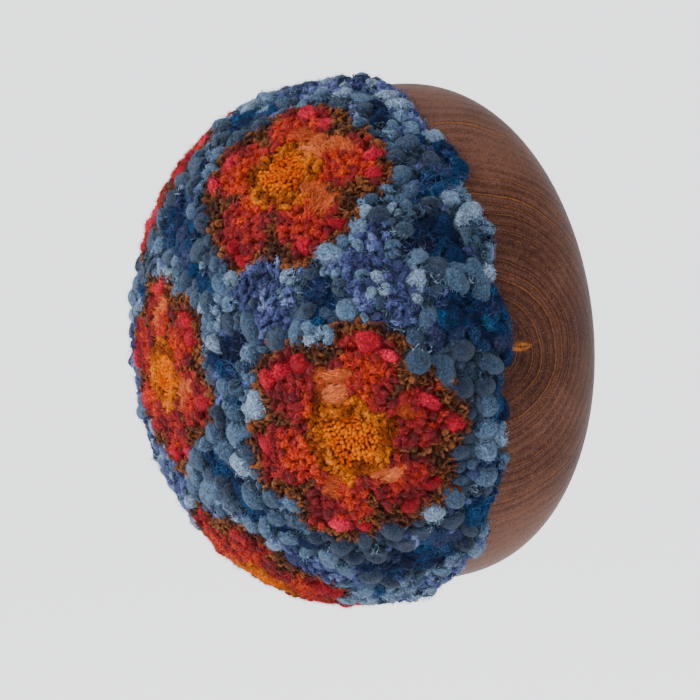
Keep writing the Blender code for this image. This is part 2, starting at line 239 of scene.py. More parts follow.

# Fine fibres over the wool: how many a loop, their knots, their length and width in millimetres, how low on
# the loop they start at most, how much they lift off it, how much lighter than it they are painted, as the
# light that stray hairs catch, and how far out of its middle they start, as a share of its size
Fibre = namedtuple("Fibre", "yarn each knots shortest longest width lowest lift light proud")
FIBRES = (
    Fibre("tuft", 46, 3, 0.9, 2.3, 0.13, -0.1, 0.22, 1.6, 1.1),
    Fibre("tuft", 110, 2, 0.5, 1.2, 0.13, -0.4, 0.5, 1.6, 1.05),
    Fibre("slate", 66, 2, 0.5, 1.3, 0.13, -0.2, 0.45, 1.6, 1.08),
    Fibre("navy", 34, 3, 1.5, 3.8, 0.13, 0.0, 0.25, 1.8, 1.1),
    Fibre("navy", 36, 2, 0.6, 1.6, 0.13, 0.0, 0.5, 1.6, 1.06),
    Fibre("periwinkle", 48, 2, 0.5, 1.2, 0.16, 0.0, 0.5, 1.6, 1.1),
    Fibre("coral", 70, 3, 0.8, 1.9, 0.17, 0.0, 0.25, 1.3, 1.08),
    Fibre("coral", 90, 2, 0.6, 1.4, 0.17, -0.1, 0.5, 1.3, 1.05),
    Fibre("roving", 250, 3, 2.5, 5.5, 0.26, 0.1, 0.1, 1.35, 1.08),
    Fibre("orange", 56, 2, 0.5, 1.4, 0.17, -0.1, 0.5, 1.8, 1.12),
    Fibre("ochre", 44, 2, 0.5, 1.2, 0.15, 0.0, 0.45, 1.4, 1.05),
    Fibre("brown", 14, 2, 0.5, 1.4, 0.15, 0.0, 0.4, 1.15, 1.0),
)
BLUE_YARNS = ("tuft", "slate", "navy", "periwinkle")
# Painted light that some fibres get on top of their colour, as the light that stray hairs catch: for the blue
# yarns, then for the warm ones
PAINTED_HAIR_LIGHT = {
    "tuft": (0.026, 0.042, 0.062),
    "slate": (0.026, 0.042, 0.062),
    "navy": (0.005, 0.009, 0.02),
    "periwinkle": (0.012, 0.016, 0.034),
}
WARM_PAINTED_HAIR_LIGHT = (0.016, 0.004, 0.003)
MILLIMETRE = 0.001
ROVING_COMBED = 0.3
FIBRE_BEND = 0.35
FIBRE_CURVE = 3.2
FIBRE_SHADES = (0.45, 1.4)
FIBRE_SEED = 500

# Wood. The tree's heart runs along X through this place in the bowl, so its rings show on the bowl's sides.
# A short check in the wood has opened beside it, filled with lighter dust.
HEART_OUT = 0.0512
HEART_UP = -0.004
RING_PITCH = 0.0026
RING_PACE = 0.0065
RING_SWAYS = ((0.06, 0.008), (0.014, 0.0015), (0.0035, 0.00028))
WOOD_DARK = (0.015, 0.0054, 0.0038)
WOOD_MIDDLE = (0.036, 0.014, 0.0098)
WOOD_LIGHT = (0.076, 0.0325, 0.0215)
WOOD_LINE = (0.16, 0.054, 0.015)
WOOD_PORE = (0.006, 0.0022, 0.0014)
CHECK_BESIDE = 0.0085
CHECK_HALF_LENGTH = 0.0046
CHECK_HALF_HEIGHT = 0.0014
CHECK_COLOUR = (0.26, 0.085, 0.014)
CHECK_SHADE = (0.08, 0.024, 0.006)

# Camera: the piece's outward axis is turned this far from the view and leans this far in the picture
VIEW_TURN = 64.0
VIEW_LEAN = 7.23
VIEW_DISTANCE = 0.924
VIEW_ACROSS = 0.0182
VIEW_UP = 0.0054
PICTURE_SIDE = 700
FOCAL_PIXELS = 3055
SENSOR = 36.0

# Floor
FLOOR_AT = -0.34
FLOOR_FLAT = 2.4
FLOOR_REACH = 6.0
FLOOR_CURVE = 0.16
FLOOR_KNOTS = 40

STAND_UP = Matrix.Rotation(math.pi / 2, 4, "X")


# The cushion's surface


def make_meridian(samples=600, under_samples=40):
    """The cushion's outline from crown to edge and round under it: way down, radius, height, edge, area."""
    angles = np.linspace(math.pi / 2, 0.0, samples)
    bend = 2.0 / CUSHION_CURVE_POWER
    radius = CUSHION_RADIUS * np.abs(np.cos(angles)) ** bend
    height = CUSHION_RISE * np.sin(angles) ** bend
    edge = np.hypot(np.diff(radius), np.diff(height)).sum()
    under = np.radians(np.linspace(0.0, EDGE_TURN, under_samples))[1:]
    radius = np.concatenate([radius, CUSHION_RADIUS - EDGE_TURN_RADIUS * (1 - np.cos(under))])
    height = np.concatenate([height, -EDGE_TURN_DEPTH * EDGE_TURN_RADIUS * np.sin(under)])
    steps = np.hypot(np.diff(radius), np.diff(height))
    down = np.concatenate([[0.0], np.cumsum(steps)])
    bands = steps * (radius[1:] + radius[:-1]) / 2
    area = np.concatenate([[0.0], np.cumsum(bands)])
    return down, radius, height, edge, area


DOWN, DOWN_RADIUS, DOWN_HEIGHT, EDGE_DOWN, DOWN_AREA = make_meridian()
EDGE_TUFTS = int(math.tau * CUSHION_RADIUS / EDGE_TUFT_PITCH)


def field(points, scale):
    """Smooth noise at each point, with lumps of about the scale's size."""
    return np.array([noise.noise(Vector(point) / scale) for point in points])


def on_cushion(down, turn):
    """Points of the smooth cushion, from their ways down from the crown and their turns round it."""
    radius = np.interp(down, DOWN, DOWN_RADIUS)
    height = np.interp(down, DOWN, DOWN_HEIGHT)
    drop = CUSHION_SAG * (SAG_AT_EDGE + (1 - SAG_AT_EDGE) * np.clip(height, 0.0, None) / CUSHION_RISE)
    return np.stack([radius * np.cos(turn), radius * np.sin(turn) - drop, RIM_AT + height], axis=-1)


def hang_over(points, down):
    """The points with the cushion's edge let down unevenly over the bowl's rim."""
    share = np.clip((down - EDGE_DOWN + HANG_FROM) / HANG_FROM, 0.0, 1.0) ** 2
    around = points * [1.0, 1.0, 0.0] + HANG_NOISE_AT
    wave = np.clip(0.5 + HANG_SWAY * field(around, HANG_WAVE), 0.0, 1.0)
    moved = points.copy()
    moved[:, 2] -= HANG * share * wave
    moved[:, :2] *= (1 + HANG_SPREAD * share * wave / CUSHION_RADIUS)[:, None]
    return moved


def frames_on_cushion(down, turn):
    """For each place, three directions as columns: down the cushion, across it and straight out of it."""
    step = 0.0005
    low = np.minimum(down + step, DOWN[-1])
    high = np.maximum(down - step, 0.0)
    rise = np.interp(high, DOWN, DOWN_HEIGHT) - np.interp(low, DOWN, DOWN_HEIGHT)
    run = np.interp(low, DOWN, DOWN_RADIUS) - np.interp(high, DOWN, DOWN_RADIUS)
    length = np.hypot(rise, run)
    rise, run = rise / length, run / length
    cosine, sine = np.cos(turn), np.sin(turn)
    along = np.stack([run * cosine, run * sine, -rise], axis=-1)
    across = np.stack([-sine, cosine, np.zeros_like(sine)], axis=-1)
    out = np.stack([rise * cosine, rise * sine, run], axis=-1)
    return np.stack([along, across, out], axis=-1)


def place_blossoms():
    """Each blossom with its centre and its two directions along the surface."""
    placed = []
    for blossom in BLOSSOMS:
        down, turn = np.array([blossom.down]), np.array([math.radians(blossom.turn)])
        _, across, out = frames_on_cushion(down, turn)[0].T
        placed.append((blossom, on_cushion(down, turn)[0], np.cross(across, out), across))
    return placed


PLACED_BLOSSOMS = place_blossoms()


def nearest_blossom(points):
    """For each point: its reach out of the nearest blossom (1 is the outline), petal share and offset."""
    wobble = OUTLINE_WOBBLE * field(points, WOBBLE_SCALE)
    best = np.full(len(points), np.inf)
    best_petal = np.zeros(len(points))
    best_offset = np.zeros((len(points), 3))
    for blossom, centre, along, across in PLACED_BLOSSOMS:
        offset = points - centre
        angle = np.arctan2(offset @ across, offset @ along)
        petal = np.abs(np.cos(blossom.petals * (angle - math.radians(blossom.twist)) / 2))
        outline = blossom.radius * (1 - PETAL_NOTCH * (1 - petal) ** NOTCH_ROUNDNESS)
        reach = np.linalg.norm(offset, axis=1) / outline + wobble
        nearer = reach < best
        best = np.where(nearer, reach, best)
        best_petal = np.where(nearer, petal, best_petal)
        best_offset = np.where(nearer[:, None], offset, best_offset)
    return best, best_petal, best_offset


def zones_at(points, down):
    """The zone of yarn that each point lies in."""
    reach, petal, _ = nearest_blossom(points)
    patch = field(points, PATCH_SCALE)
    roving = field(points + ROVING_NOISE_AT, ROVING_SCALE) > ROVING_ABOVE
    ground = reach > HALO_REACH * (1 + HALO_SWAY * patch)
    choices = [
        (ground & (patch > DARK_PATCH_ABOVE), "navy"),
        (ground & (patch < SMALL_LOOP_PATCH_BELOW), "periwinkle"),
        (down > EDGE_DOWN - EDGE_BAND, "slate"),
        (reach < EYE_REACH, "yellow"),
        (reach < OCHRE_REACH, "ochre"),
        ((reach < 1.0) & (petal < NOTCH_WIDTH * reach), "brown"),
        ((reach < ROVING_REACH) & roving, "roving"),
        (reach < PETAL_REACH, "orange"),
        ((reach < TIP_REACH) & (petal > TIP_WIDTH), "coral"),
        (reach < 1.0, "brown"),
    ]
    return np.select([test for test, _ in choices], [name for _, name in choices], default="slate")


# Where each loop and tuft stands


class Sites:
    """Loops and tufts placed so far: their ways down, turns, sizes, places and yarns."""

    def __init__(self):
        self.count = 0
        self.down, self.turn, self.radius = np.zeros((3, MOST_SITES))
        self.point = np.zeros((MOST_SITES, 3))
        self.yarn = np.full(MOST_SITES, "", dtype="<U12")

    def fill(self, yarn, darts, chosen, sizes, spacing=0.0, most=MOST_SITES):
        """Adds a yarn's sites at the chosen darts, where they have room beside all the others."""
        made = 0
        for dart, size in zip(chosen, sizes):
            if made == most:
                break
            here = self.count
            offsets = self.point[:here] - darts.point[dart]
            room = spacing * (self.radius[:here] + size)
            if (np.einsum("ij,ij->i", offsets, offsets) > room * room).all():
                self.down[here], self.turn[here], self.radius[here] = darts.down[dart], darts.turn[dart], size
                self.point[here], self.yarn[here] = darts.point[dart], yarn
                self.count += 1
                made += 1

    def of(self, yarn, pressed=0.0):
        """The sites of one yarn: places, sizes, blossom shares and the turn that runs round the blossom.

        They are pressed in unevenly, by up to a share of their size.
        """
        here = np.flatnonzero(self.yarn[:self.count] == yarn)
        down, turn, point, radius = self.down[here], self.turn[here], self.point[here], self.radius[here]
        reach, petal, offset = nearest_blossom(point)
        frames = frames_on_cushion(down, turn)
        depth = pressed * radius * np.random.default_rng(len(here)).random(len(here))
        ring = np.cross(frames[:, :, 2], offset)
        ring_across = np.einsum("ij,ij->i", ring, frames[:, :, 1])
        ring_along = np.einsum("ij,ij->i", ring, frames[:, :, 0])
        point = hang_over(point, down) - frames[:, :, 2] * depth[:, None]
        ring_turn = np.arctan2(ring_across, ring_along)
        return SimpleNamespace(
            radius=radius, point=point, frames=frames, reach=reach, petal=petal, ring_turn=ring_turn
        )


def throw(down, turn):
    """Darts at these places, with their points and zones."""
    point = on_cushion(down, turn)
    return SimpleNamespace(down=down, turn=turn, point=point, zone=zones_at(point, down))


def throw_tufts(sites):
    """The felted tufts, as the frame has them: a row along the edge, then darts thrown at the ground."""
    draw = np.random.default_rng(TUFT_SEED)
    edge_area = float(np.interp(EDGE_DOWN, DOWN, DOWN_AREA))
    tufts = []
    for index in range(EDGE_TUFTS):
        turn = math.tau * (index + EDGE_TUFT_STRAY * draw.random()) / EDGE_TUFTS
        tufts.append((EDGE_DOWN - EDGE_TUFT_BACK, turn, draw.uniform(*TUFT_RADIUS)))
    for _ in range(TUFT_DARTS):
        down = float(np.interp(draw.random() * edge_area, DOWN_AREA, DOWN))
        tufts.append((down, math.tau * draw.random(), draw.uniform(*TUFT_RADIUS)))
    down, turn, radius = np.array(tufts).T.copy()
    darts = throw(down, turn)
    chosen = np.flatnonzero(darts.zone == "slate")
    edge, thrown = chosen[chosen < EDGE_TUFTS], chosen[chosen >= EDGE_TUFTS]
    sites.fill("tuft", darts, edge, radius[edge])
    sites.fill("tuft", darts, thrown, radius[thrown], TUFT_SPACING)


def throw_under_row(sites, draw):
    """A second row of tufts, turned under the edge and down on to the wood."""
    places = np.arange(EDGE_TUFTS) + 0.5 + EDGE_TUFT_STRAY * draw.random(EDGE_TUFTS)
    radius = draw.uniform(*UNDER_ROW_RADIUS, EDGE_TUFTS)
    darts = throw(np.full(EDGE_TUFTS, EDGE_DOWN + UNDER_ROW_DOWN), math.tau * places / EDGE_TUFTS)
    chosen = np.flatnonzero(darts.zone == "slate")
    sites.fill("tuft", darts, chosen, radius[chosen])


def throw_fillers(sites, draw):
    """The smaller loops, thrown wherever their own zone still has room."""
    down = np.interp(draw.random(DARTS) * DOWN_AREA[-1], DOWN_AREA, DOWN)
    darts = throw(down, math.tau * draw.random(DARTS))
    for row in FILLERS:
        chosen = np.flatnonzero(darts.zone == row.zone)[:DARTS_A_ROW]
        sizes = draw.uniform(row.smallest, row.largest, len(chosen))
        sites.fill(row.yarn, darts, chosen, sizes, row.spacing, row.most)


def place_sites():
    """All the loops and tufts of the cushion."""
    sites = Sites()
    throw_tufts(sites)
    draw = np.random.default_rng(SITE_SEED)
    throw_under_row(sites, draw)
    throw_fillers(sites, draw)
    return sites


# Shapes stamped over the cushion. Each stands along +Z round the origin, in units of its site's radius,
# and has its points, its faces and, for each point, a painted shade or light that darkens or lightens the
# yarn there.


Shape = namedtuple("Shape", "points quads tris shade")


def closed_skin(rings, sides):
    """Faces from ring to ring, and fans to the first and last end, whose points follow those of the rings."""
    index = np.arange(sides)
    following = (index + 1) % sides
    quads = []
    for top in sides * np.arange(rings - 1):
        low = top + sides
        quads.append(np.stack([top + index, low + index, low + following, top + following], axis=1))
    last = (rings - 1) * sides
    crown = np.full(sides, rings * sides)
    tris = [(crown, index, following), (crown + 1, last + following, last + index)]
    return np.vstack(quads), np.vstack([np.stack(fan, axis=1) for fan in tris])


def unit(vectors):
    """The vectors, each made one long."""
    return vectors / np.linalg.norm(vectors, axis=1)[:, None]


def tube_shape(path, thickness, sides, ply=0.0, turns=0.0):
    """A closed tube along a path, with two plies wound round each other and painted shade in the grooves
    between.
    """
    forward = unit(np.gradient(path, axis=0))
    side = unit(np.cross(forward, TUBE_SIDE))
    up = np.cross(side, forward)
    steps = len(path)
    angles = math.tau * np.arange(sides) / sides
    share = np.linspace(0.0, 1.0, steps)[:, None]
    ridge = np.cos(2 * (angles[None, :] - math.tau * turns * share))
    reach = np.broadcast_to(thickness, steps)[:, None] * (1 + ply * ridge)
    ring = np.cos(angles)[None, :, None] * side[:, None, :] + np.sin(angles)[None, :, None] * up[:, None, :]
    points = (path[:, None, :] + reach[:, :, None] * ring).reshape(-1, 3)
    # Painted shade and light: the yarn is darkened in the grooves between its plies and lightened on their
    # ridges.
    shade = np.append(1 + PLY_PAINTED_SHADE * ply * ridge, [1.0, 1.0])
    quads, tris = closed_skin(steps, sides)
    # The rings run the other way round the path, so the faces are turned over.
    return Shape(np.vstack([points, path[[0, -1]]]), quads[:, [0, 3, 2, 1]], tris[:, [0, 2, 1]], shade)


def join_shapes(shapes):
    """Several shapes as one."""
    starts = np.cumsum([0] + [len(shape.points) for shape in shapes])
    return Shape(
        np.vstack([shape.points for shape in shapes]),
        np.vstack([shape.quads + start for shape, start in zip(shapes, starts)]),
        np.vstack([shape.tris + start for shape, start in zip(shapes, starts)]),
        np.concatenate([shape.shade for shape in shapes]),
    )


def loop_shape(steps, sides, span, height, thickness, root, lean=0.0, ply=0.0, turns=0.0):
    """One yarn loop: two legs up from the cloth and a round top between them."""
    angle = math.pi * np.linspace(0.0, 1.0, steps)
    rise = np.abs(np.sin(angle)) ** 0.75
    path = np.stack([-span * np.cos(angle), lean * rise, root + (height - root - thickness) * rise], axis=-1)
    return tube_shape(path, thickness * (0.8 + 0.2 * rise), sides, ply, turns)


def coil_shape(steps, sides, reach, thickness, turn):
    """A fat yarn end curled flat round itself, its middle low."""
    angle = np.linspace(0.0, math.radians(turn), steps)
    out = reach * (1 - 0.25 * angle / angle[-1])
    path = np.stack([out * np.cos(angle), out * np.sin(angle), 0.15 + 0.25 * np.sin(angle * 0.7)], axis=-1)
    ends = np.sin(np.linspace(0.35, math.pi - 0.35, steps)) ** 0.4
    return tube_shape(path, thickness * ends, sides)


def pad_shape(rings, sides, across, along, height, middle, dimple=0.0, squareness=1.0):
    """A felted tuft: a rounded pad, its top pressed in by the dimple."""
    polar = math.pi * np.arange(1, rings) / rings
    wide = np.sin(polar) ** squareness
    rise = np.cos(polar)
    level = middle + height * rise - dimple * np.clip(rise, 0.0, None) * (1 - wide)
    angles = math.tau * np.arange(sides) / sides
    around = np.stack([across * np.cos(angles), along * np.sin(angles)], axis=-1)
    points = np.concatenate([
        wide[:, None, None] * around,
        np.broadcast_to(level[:, None, None], (rings - 1, sides, 1)),
    ], axis=-1).reshape(-1, 3)
    ends = [(0.0, 0.0, middle + height - dimple), (0.0, 0.0, middle - height)]
    # Painted light: the pad is lighter round its widest sides and darker towards its top and foot, as the
    # sheen round a felted tuft.
    shade = np.append(np.repeat(0.92 + 0.22 * wide, sides), [0.9, 0.9])
    return Shape(np.vstack([points, ends]), *closed_skin(rings - 1, sides), shade)


def squiggle_shape(steps, sides, draw, thickness, size=1.0):
    """A kinked curl of bouclé yarn, bent in all directions."""
    waves = draw.uniform(2.5, 5.5, 3)
    phases = draw.uniform(0, math.tau, 3)
    share = np.linspace(0.0, 1.0, steps)
    path = size * np.stack([np.sin(waves[part] * share + phases[part]) for part in range(3)], axis=-1)
    path[:, 2] = 0.75 * path[:, 2] + 0.1
    fat = thickness * (0.75 + 0.5 * draw.random(steps))
    return tube_shape(path, fat, sides)


def pads(rings, sides, *rows):
    """Pads of a row each: across, along, height, middle and, where they differ, dimple and squareness."""
    return [pad_shape(rings, sides, *row) for row in rows]


def loops(steps, sides, *rows):
    """Loops of a row each: span, height, thickness, root, lean, ply and turns."""
    return [loop_shape(steps, sides, *row) for row in rows]


def put_down(here, chosen, local, sink):
    """Points round each chosen site, turned, tipped and sunk as it is, and set in place on the cushion."""
    spins, tips = here.spins[chosen][:, None], here.tips[chosen]
    cosine, sine = np.cos(spins), np.sin(spins)
    turned_x = cosine * local[:, :, 0] - sine * local[:, :, 1] + tips[:, 0][:, None] * local[:, :, 2]
    turned_y = sine * local[:, :, 0] + cosine * local[:, :, 1] + tips[:, 1][:, None] * local[:, :, 2]
    turned = np.stack([turned_x, turned_y, local[:, :, 2] - sink], axis=-1)
    return np.einsum("nij,nkj->nki", here.frames[chosen], turned) + here.point[chosen][:, None, :]


def stamp(name, here, shapes, colours, spins):
    """Stamps shapes over sites as one mesh, each turned, tipped, bent and coloured in its own way.

    The sites then also hold how that was done, so that fibres can follow their loops.
    """
    row = PILES[name]
    draw = np.random.default_rng(row.seed)
    count = len(here.radius)
    kinds = draw.integers(0, len(shapes), count)
    here.spins = draw.uniform(0, math.tau, count) if spins is None else spins
    here.tips = draw.normal(0.0, row.tilt, (count, 2))
    here.sizes = here.radius[:, None] * draw.uniform(row.smallest, row.largest, (count, 3))
    here.reaches = np.zeros((count, 3))
    here.waves = np.zeros((count, 3, 3))
    here.phases = np.zeros((count, 3))
    here.sink, here.rough = row.sink, row.rough
    points, quads, tris, shades, rises = [], [], [], [], []
    start = 0
    for kind, shape in enumerate(shapes):
        chosen = np.flatnonzero(kinds == kind)
        here.waves[chosen] = waves = draw.normal(0.0, BEND_WAVES, (len(chosen), 3, 3))
        here.phases[chosen] = phases = draw.uniform(0, math.tau, (len(chosen), 3))
        here.reaches[chosen] = (*np.abs(shape.points[:, :2]).max(axis=0), shape.points[:, 2].max())
        shifts = np.sin(np.einsum("nij,kj->nki", waves, shape.points) + phases[:, None, :])
        local = shape.points[None, :, :] * here.sizes[chosen][:, None, :]
        local = local + row.rough * here.radius[chosen][:, None, None] * shifts
        placed = put_down(here, chosen, local, row.sink)
        knots = len(shape.points)
        offsets = (start + knots * np.arange(len(chosen)))[:, None, None]
        points.append(placed.reshape(-1, 3))
        quads.append((shape.quads[None] + offsets).reshape(-1, 4))
        tris.append((shape.tris[None] + offsets).reshape(-1, 3))
        shades.append((colours[chosen][:, None, :] * shape.shade[None, :, None]).reshape(-1, 3))
        # Each point's height share from root to top, which the wool's painted root shade reads.
        heights = np.clip(shape.points[:, 2], ROOT_SHADE_TO, None)
        rises.append(np.tile((heights - heights.min()) / np.ptp(heights), len(chosen)))
        start += knots * len(chosen)
    return add_piece(name, *map(np.concatenate, (points, quads, tris, shades, rises)))


def lay_pile(name, here, shapes, colours, spins=None):
    """One kind of pile over its sites, which it gives back with their colours."""
    finish_wool(stamp(name, here, shapes, colours, spins), PILES[name].wool)
    return here, colours


def fibres_over(here, row, colours, draw):
    """Knots and colours of fine flat fibres: each starts on a loop's round top and lifts off it to a point.

    Each is painted lighter than its loop, as the light that stray hairs catch, and some more than others, so
    that they show on dark wool too.
    """
    host = np.repeat(np.arange(len(here.radius)), row.each)
    count = len(host)
    radius = here.radius[host][:, None]
    cosine = draw.uniform(row.lowest, 1.0, (count, 1))
    sine = np.sqrt(1 - cosine**2)
    azimuth = draw.uniform(0, math.tau, (count, 1))
    start = here.reaches[host] * np.hstack([sine * np.cos(azimuth), sine * np.sin(azimuth), cosine])
    shift = np.sin(np.einsum("nij,nj->ni", here.waves[host], start) + here.phases[host])
    first = np.hstack([cosine * np.cos(azimuth), cosine * np.sin(azimuth), -sine])
    second = np.hstack([-np.sin(azimuth), np.cos(azimuth), np.zeros((count, 1))])
    heading = draw.uniform(0, math.tau, (count, 1))
    if row.yarn == "roving":
        heading = (here.ring_turn - here.spins)[host][:, None] - azimuth
        heading = heading + draw.normal(0.0, ROVING_COMBED, (count, 1))
    reach = here.reaches[host] * here.sizes[host]
    out = unit(start / here.reaches[host] / reach)
    forward = unit(reach * (first * np.cos(heading) + second * np.sin(heading)))
    sideways = np.cross(forward, out)
    start = row.proud * start * here.sizes[host] + here.rough * radius * shift
    length = MILLIMETRE * draw.uniform(row.shortest, row.longest, (count, 1))
    bend = draw.normal(0.0, FIBRE_BEND, (count, 1))
    lift = np.abs(draw.normal(0.0, row.lift, (count, 1)))
    knots = []
    for gone in np.linspace(0.0, 1.0, row.knots):
        way = length * gone
        middle = start + out * (lift * way - (1 - lift) * way**2 / (FIBRE_CURVE * radius))
        middle = middle + forward * way + sideways * bend * way * gone
        half = MILLIMETRE / 2 * row.width * (1.0 - 0.5 * gone)
        for edge in (-half, half) if gone < 1.0 else (0.0,):
            knots.append(middle + sideways * edge)
    knots = put_down(here, host, np.stack(knots, axis=1), here.sink)
    # Painted light: each fibre is lighter than its loop, and some get a further pale tone, as the light that
    # stray hairs catch.
    shade = colours[host] * row.light * draw.uniform(*FIBRE_SHADES, (count, 1))
    shade = shade + np.array(PAINTED_HAIR_LIGHT.get(row.yarn, WARM_PAINTED_HAIR_LIGHT)) * draw.random((count, 1)) ** 2
    return knots, shade


def lay_fibres(name, rows, hosts):
    """One piece of fine fibres over the loops and tufts of several yarns."""
    draw = np.random.default_rng(FIBRE_SEED)
    points, shades, quads, tris = [], [], [], []
    start = 0
    for row in rows:
        here, colours = hosts[row.yarn]
        knots, shade = fibres_over(here, row, colours, draw)
        count, corners = knots.shape[:2]
        starts = start + corners * np.arange(count)[:, None]
        quads += [starts + 2 * step + np.array([0, 1, 3, 2]) for step in range(row.knots - 2)]
        tris.append(starts + corners - 3 + np.array([0, 1, 2]))
        points.append(knots.reshape(-1, 3))
        shades.append(np.repeat(shade, corners, axis=0))
        start += count * corners
    points = np.vstack(points)
    piece = add_piece(name, points, np.vstack(quads), np.vstack(tris), np.vstack(shades), np.ones(start))
    finish_wool(piece, name)


def add_piece(name, points, quads, tris, colours, rises):
    """A mesh object with a colour and a height share at each point, stood up to face the room."""
    mesh = new_mesh(name, points.tolist(), [], quads.tolist() + tris.tolist())
    full = np.concatenate([np.clip(colours, 0.0, 1.0), np.ones((len(colours), 1))], axis=1)
    shade = mesh.attributes.new("yarn_colour", "FLOAT_COLOR", "POINT")
    shade.data.foreach_set("color", full.astype(np.float32).ravel())
    rise = mesh.attributes.new("yarn_rise", "FLOAT", "POINT")
    rise.data.foreach_set("value", rises.astype(np.float32))
    mesh.shade_smooth()
    mesh.transform(STAND_UP)
    mesh.update()
    return add_object(name, mesh)


def new_mesh(name, points, edges, faces):
    """A mesh of these points, edges and faces."""
    mesh = bpy.data.meshes.new(name)
    mesh.from_pydata(points, edges, faces)
    return mesh


def add_object(name, data):
    """An object in the scene for a mesh, a light or a camera."""
    item = bpy.data.objects.new(name, data)
    bpy.context.scene.collection.objects.link(item)
    return item


# Tones


def tones_at(yarn, share, spread, seed):
    """Colours at shares of the way through a yarn's tones, each strayed from by its own draw."""
    tones = np.array(YARN_TONES[yarn])
    stops = np.linspace(0.0, 1.0, len(tones))
    share = np.clip(share + np.random.default_rng(seed).normal(0.0, spread, len(share)), 0.0, 1.0)
    return np.stack([np.interp(share, stops, tones[:, part]) for part in range(3)], axis=-1)


def mixed_tones(yarn, here, region, spread, seed, middle=0.5):
    """Tones that drift over the cushion and differ from loop to loop."""
    return tones_at(yarn, middle + field(here.point, region) * 1.1, spread, seed)


def ground_tones(here, seed):
    """Slate tones for the tufts, dark round the ground's dark patches and pale away from them."""
    paler = 1.45 * np.clip(-field(here.point, PATCH_SCALE), None, GROUND_PALEST)
    return tones_at("slate", 0.52 + paler + 0.7 * field(here.point, 0.01), 0.28, seed)


def petal_tones(here, seed):
    """Orange near the eye and up each petal's middle, wine red towards its edges."""
    outward = (here.reach - OCHRE_REACH) / (PETAL_REACH - OCHRE_REACH)
    sideways = (1 - here.petal) * 0.5
    drift = field(here.point, 0.012) * 0.6
    return tones_at("orange", 0.1 + 0.48 * outward + sideways + drift, 0.24, seed)


# Materials


class Value:
    """What a material's node puts out, as a number that sums can be written with."""

    def __init__(self, nodes, socket):
        self.nodes = nodes
        self.socket = socket

    def __add__(self, other):
        return self.nodes.math("ADD", self, other)

    def __sub__(self, other):
        return self.nodes.math("SUBTRACT", self, other)

    def __rsub__(self, other):
        return self.nodes.math("SUBTRACT", other, self)

    def __mul__(self, other):
        return self.nodes.math("MULTIPLY", self, other)

    def __truediv__(self, other):
        return self.nodes.math("DIVIDE", self, other)

    def __abs__(self):
        return self.nodes.math("ABSOLUTE", self)


class Nodes:
    """Short names for building a material's nodes."""

    def __init__(self, name):
        self.material = bpy.data.materials.new(name)
        self.material.use_nodes = True
        self.tree = self.material.node_tree

    def feed(self, node, inputs):
        """Sets a node's inputs, by name or number, to numbers, colours or other nodes' values."""
        for key, value in inputs.items():
            if isinstance(value, Value):
                self.tree.links.new(value.socket, node.inputs[key])
            else:
                node.inputs[key].default_value = value

    def shade(self, inputs):
        """Sets the shader's inputs and gives the material."""
        self.feed(self.tree.nodes["Principled BSDF"], inputs)
        return self.material

    def add(self, kind, output, inputs, **settings):
        """The value of a new node with these inputs and settings."""
        node = self.tree.nodes.new("ShaderNode" + kind)
        for key, value in settings.items():
            setattr(node, key, value)
        self.feed(node, inputs)
        return Value(self, node.outputs[output])

    def math(self, operation, first, second=0.5):
        """The result of a sum on two numbers or values."""
        return self.add("Math", 0, {0: first, 1: second}, operation=operation)

    def place(self, scale=(1.0, 1.0, 1.0)):
        """The object's own coordinates in metres, stretched by a scale."""
        vector = self.add("TexCoord", "Object", {})
        return self.add("Mapping", "Vector", {"Vector": vector, "Scale": scale})

    def part(self, vector, axis):
        """One part of a vector."""
        return self.add("SeparateXYZ", axis, {0: vector})

    def noise(self, vector, size, detail=3.0, roughness=0.6, distortion=0.0):
        """Noise with lumps of about the size in metres, from 0 to 1."""
        inputs = {"Vector": vector, "Scale": 1.0 / size, "Detail": detail}
        inputs |= {"Roughness": roughness, "Distortion": distortion}
        return self.add("TexNoise", "Fac", inputs)

    def ramp(self, value, stops):
        """A colour ramp over positions and colours."""
        colour = self.add("ValToRGB", "Color", {"Fac": value})
        elements = colour.socket.node.color_ramp.elements
        while len(elements) < len(stops):
            elements.new(0.5)
        for element, (position, tone) in zip(elements, stops):
            element.position = position
            element.color = (*tone, 1.0)
        return colour

    def mix(self, share, first, second):
        """Two colours mixed by a share."""
        first, second = ((*tone, 1.0) if isinstance(tone, tuple) else tone for tone in (first, second))
        return self.add("Mix", 2, {0: share, 6: first, 7: second}, data_type="RGBA")

    def between(self, value, low, high, to_low=0.0, to_high=1.0):
        """A number moved from one range to another and held there."""
        inputs = {0: value, 1: low, 2: high, 3: to_low, 4: to_high}
        return self.add("MapRange", 0, inputs, clamp=True)

    def hairs(self, vector, size):
        """Thin curled lines, 1 along each and 0 between them, as hairs that lie across one another."""
        lumps = self.noise(vector, size, detail=2.0, roughness=0.5, distortion=1.2)
        return self.between(abs(lumps - 0.5), 0.008, 0.075, 1.0, 0.0)

    def bump(self, height, distance, under=None):
        """A bump of a height in metres, over another one where that is given."""
        inputs = {"Height": height, "Distance": distance}
        if under is not None:
            inputs["Normal"] = under
        return self.add("Bump", "Normal", inputs)


